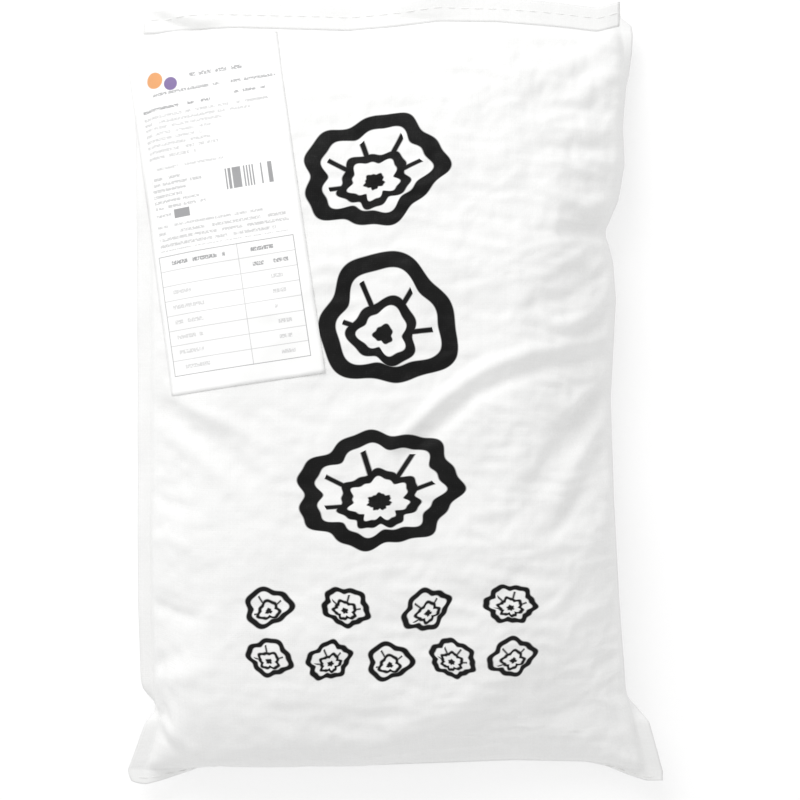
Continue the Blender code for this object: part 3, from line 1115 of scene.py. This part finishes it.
def makeRuledTable():
    group, source, sink = newGroup(
        "ruledTable", {"Place": (0, 0, 0), "Left": 0.0, "Right": 0.08, "Bottom": 0.0, "Top": 0.07,
                       "Rows": 8.0, "Divider": 0.05, "Rule": 0.0005}, ["Ink"])
    parts = axesOf(source["Place"])
    x, y = parts["X"], parts["Y"]
    height = minus(source["Top"], source["Bottom"])
    down = ratio(minus(source["Top"], y), height)
    inRow = calc("FRACT", plus(mul(down, source["Rows"]), 0.5))
    offRule = mul(calc("ABSOLUTE", minus(inRow, 0.5)), ratio(height, source["Rows"]))
    thin = mul(source["Rule"], 0.5)
    rule = mul(below(offRule, thin), 0.55)
    for value, edge, weight in ((x, "Left", 0.9), (x, "Right", 1.0), (x, "Divider", 0.6),
                                (y, "Top", 1.0), (y, "Bottom", 1.0)):
        off = calc("ABSOLUTE", minus(value, source[edge]))
        rule = most(rule, mul(below(off, thin), weight))
    for low, value, high in (("Left", x, "Right"), ("Bottom", y, "Top")):
        past = above(value, minus(source[low], thin))
        rule = mul(rule, mul(past, below(value, plus(source[high], thin))))
    link(rule, sink["Ink"])
    return group


def makeBlock():
    # a plain rectangle, solid or cut into upright bars
    group, source, sink = newGroup(
        "plainBlock", {"Place": (0, 0, 0), "Left": 0.0, "Right": 0.03, "Bottom": 0.0, "Top": 0.01,
                       "Bars": 0.0}, ["Ink"])
    parts = axesOf(source["Place"])
    x, y = parts["X"], parts["Y"]
    ink = 1.0
    for low, value, high in (("Left", x, "Right"), ("Bottom", y, "Top")):
        ink = mul(ink, mul(above(value, source[low]), below(value, source[high])))
    share = ratio(minus(x, source["Left"]), minus(source["Right"], source["Left"]))
    barred = above(randomAt(calc("FLOOR", mul(share, 34.0))), 0.48)
    link(mul(ink, most(barred, minus(1.0, source["Bars"]))), sink["Ink"])
    return group


def makeDot():
    group, source, sink = newGroup(
        "plainDot", {"Place": (0, 0, 0), "Across": 0.0, "Along": 0.0, "Radius": 0.004}, ["Ink"])
    parts = axesOf(source["Place"])
    dx, dy = minus(parts["X"], source["Across"]), minus(parts["Y"], source["Along"])
    off = calc("SQRT", plus(mul(dx, dx), mul(dy, dy)))
    link(fade(minus(off, source["Radius"]), 0.0003, -0.0003), sink["Ink"])
    return group


# small print: left, right, top and bottom in mm from the label's upper left corner, then
# pitch, weight, ragged, strength
smallPrint = [
    (39, 72, 20, 24, 4.0, 0.62, 0.0, 0.75),
    (6, 62, 29, 32, 3.0, 0.60, 0.1, 0.70),
    (64, 92, 29, 32, 3.0, 0.60, 0.0, 0.75),
    (6, 50, 38, 41, 3.0, 0.60, 0.0, 0.80),
    (62, 90, 36, 39, 3.0, 0.60, 0.1, 0.75),
    (6, 88, 43, 50, 3.6, 0.48, 0.5, 0.45),
    (6, 60, 50, 72, 3.7, 0.48, 0.5, 0.42),
    (6, 56, 76, 79, 3.0, 0.50, 0.1, 0.40),
    (6, 42, 82, 103, 3.6, 0.48, 0.5, 0.50),
    (6, 16, 105, 108, 3.0, 0.50, 0.0, 0.50),
    (6, 78, 112, 115, 3.0, 0.50, 0.1, 0.45),
    (6, 90, 116, 128, 3.8, 0.48, 0.2, 0.45),
    (8, 46, 134.6, 138.6, 4.0, 0.60, 0.0, 0.85),
    (62, 76, 134.6, 138.6, 4.0, 0.60, 0.0, 0.85),
    (62, 84, 143.6, 147.4, 4.0, 0.60, 0.0, 0.80),
    (9, 30, 152.6, 205, 9.25, 0.26, 0.4, 0.36),
    (72, 82, 152.6, 205, 9.25, 0.26, 0.3, 0.40),
]
# the boxes of the table and the two blocks, in the same order and units
table = {"box": (4, 89, 131, 205), "rows": 8, "divider": 54}
barsBlock = (53, 83, 84, 97)
boldBlock = (18, 28, 103.2, 108.8)
dots = [((16.5, 20.5), 5.2, (0.72, 0.28, 0.05, 1)), ((26.5, 24.5), 4.2, (0.13, 0.06, 0.27, 1))]


def makePaperMaterial():
    material, tree, shader = newMaterial("labelPaper", Roughness=0.55)
    at = mapped(tree, "labelMap")
    height = labelLook["size"][1]
    ink = None

    def add(group, box, inputs, strength):
        nonlocal ink
        left, right, top, bottom = box
        sides = {"Place": at, "Left": left / 1000, "Right": right / 1000,
                 "Top": height - top / 1000, "Bottom": height - bottom / 1000}
        mark = mul(place(tree, group, {**sides, **inputs})["Ink"], strength)
        ink = mark if ink is None else most(ink, mark)

    for seed, (*box, pitch, weight, ragged, strength) in enumerate(smallPrint):
        rows = {"Pitch": pitch / 1000, "Weight": weight, "Seed": 13.0 * seed + 1, "Ragged": ragged}
        add(wordLines, box, rows, strength)
    add(ruledTable, table["box"], {"Rows": table["rows"], "Divider": table["divider"] / 1000}, 0.75)
    add(plainBlock, barsBlock, {"Bars": 1.0}, 0.9)
    add(plainBlock, boldBlock, {"Bars": 0.0}, 0.9)
    mottled = place(tree, cloudyTone, {"Place": at, "Scale": 40.0, "Spread": 0.8})["Tone"]
    fibre = place(tree, fineFibre, {"Place": at, "Along": 1800.0, "Across": 2600.0})["Height"]
    paper = blendColour(mul(mottled, 0.5), labelLook["white"], labelLook["shade"])
    shown = blendColour(ink, paper, labelLook["print"])
    for (across, down), radius, colour in dots:
        dot = place(tree, plainDot, {"Place": at, "Across": across / 1000,
                                     "Along": height - down / 1000, "Radius": radius / 1000})["Ink"]
        shown = blendColour(mul(dot, 0.9), shown, colour)
    link(shown, shader.inputs["Base Color"])
    link(bump(fibre, 0.25, 0.00008), shader.inputs["Normal"])
    return material


wordLines, ruledTable = makeWordLines(), makeRuledTable()
plainBlock, plainDot = makeBlock(), makeDot()


def layLabel():
    # the sheet follows the sack, bridges its small dents and never cuts into it
    across, down = labelLook["cells"]
    width, height = labelLook["size"]
    u, v = np.meshgrid(np.linspace(0, 1, across + 1), np.linspace(0, 1, down + 1))
    cosTurn, sinTurn = math.cos(labelLook["turn"]), math.sin(labelLook["turn"])
    dx, dy = (u - 0.5) * width, (v - 0.5) * height
    x = labelLook["centre"][0] + dx * cosTurn - dy * sinTurn
    y = labelLook["centre"][1] + dx * sinTurn + dy * cosTurn
    rows, cols = faceGrid.shape[:2]
    quads = [(j * cols + i, j * cols + i + 1, (j + 1) * cols + i + 1, (j + 1) * cols + i)
             for j in range(rows - 1) for i in range(cols - 1)]
    tree = BVHTree.FromPolygons(faceGrid.reshape(-1, 3).tolist(), quads)
    ground = np.full(x.shape, np.nan)
    step = width / across / 2
    for j in range(x.shape[0]):
        for i in range(x.shape[1]):
            for aside, beyond in ((0, 0), (step, 0), (-step, 0), (0, step), (0, -step)):
                start = Vector((x[j, i] + aside, y[j, i] + beyond, 0.5))
                hit = tree.ray_cast(start, Vector((0, 0, -1)))[0]
                if hit and not aside and not beyond:
                    ground[j, i] = hit.z
                elif hit and not np.isnan(ground[j, i]):
                    # the cloth's height here if it rose between the points
                    ground[j, i] = max(ground[j, i], min(hit.z, ground[j, i] + labelLook["rise"]))
    for j in range(x.shape[0]):
        seen = ~np.isnan(ground[j])
        ground[j] = np.interp(u[0], u[0][seen], ground[j][seen])
    floorAt = ground + labelLook["gap"]
    z = floorAt + 0.0003
    for _ in range(labelLook["easing"]):
        padded = np.pad(z, 1, mode="reflect", reflect_type="odd")
        mean = (padded[:-2, 1:-1] + padded[2:, 1:-1] + padded[1:-1, :-2] + padded[1:-1, 2:]) / 4
        z = np.maximum(floorAt, 0.35 * z + 0.65 * (0.7 * mean + 0.3 * floorAt))
    # the two right corners and the lower edge have begun to lift
    z += labelLook["topLift"] * np.clip(u - 0.80, 0, 1) * 5 * (np.clip(v - 0.9, 0, 1) * 10) ** 2
    z += labelLook["lowLift"] * np.clip(u - 0.75, 0, 1) * 4 * (np.clip(0.12 - v, 0, 1) * 8) ** 2
    top = np.stack([x, y, z], -1)
    bottom = top - gridNormals(top) * labelLook["thick"]
    flat = np.stack([u * width, v * height], -1)
    paper = makePaperMaterial()
    return closedSheet("paperLabel", top, bottom, flat, flat + (0.2, 0), paper, "labelMap")


labelPiece = layLabel()
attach(labelPiece, "root")
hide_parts("label")
print("label stuck on")


# floor and light

studio = {
    "floor": (0.52, 0.52, 0.52, 1),
    "floorCloud": (0.54, 0.54, 0.54, 1),
    "glow": 0.48,
    "sky": 0.83,
    "key": (-0.62, 1.12, 1.05),
    "keyPower": 12.5,
    "keySize": 1.1,
}


def makeStudio():
    bpy.ops.mesh.primitive_plane_add(size=8, location=(0, 0, 0))
    floor = bpy.context.object
    floor.name = "paleFloor"
    material, tree, shader = newMaterial(
        "paleFloor", Roughness=0.9, Emission_Color=(1, 1, 1, 1), Emission_Strength=studio["glow"])
    at = put(tree, "TexCoord").outputs["Object"]
    cloud = place(tree, cloudyTone, {"Place": at, "Scale": 3.0, "Spread": 0.5})["Tone"]
    pale = blendColour(cloud, studio["floor"], studio["floorCloud"])
    link(pale, shader.inputs["Base Color"])
    floor.data.materials.append(material)
    world = bpy.data.worlds.new("studio")
    world.use_nodes = True
    background = world.node_tree.nodes["Background"].inputs
    background["Color"].default_value = (1, 1, 1, 1)
    background["Strength"].default_value = studio["sky"]
    scene.world = world
    key = bpy.data.objects.new("key", bpy.data.lights.new("key", "AREA"))
    key.data.energy = studio["keyPower"]
    key.data.size = studio["keySize"]
    key.location = studio["key"]
    key.rotation_euler = (-Vector(studio["key"])).to_track_quat("-Z", "Y").to_euler()
    scene.collection.objects.link(key)


makeStudio()
scene.view_settings.view_transform = "Standard"
print("floor and light set")
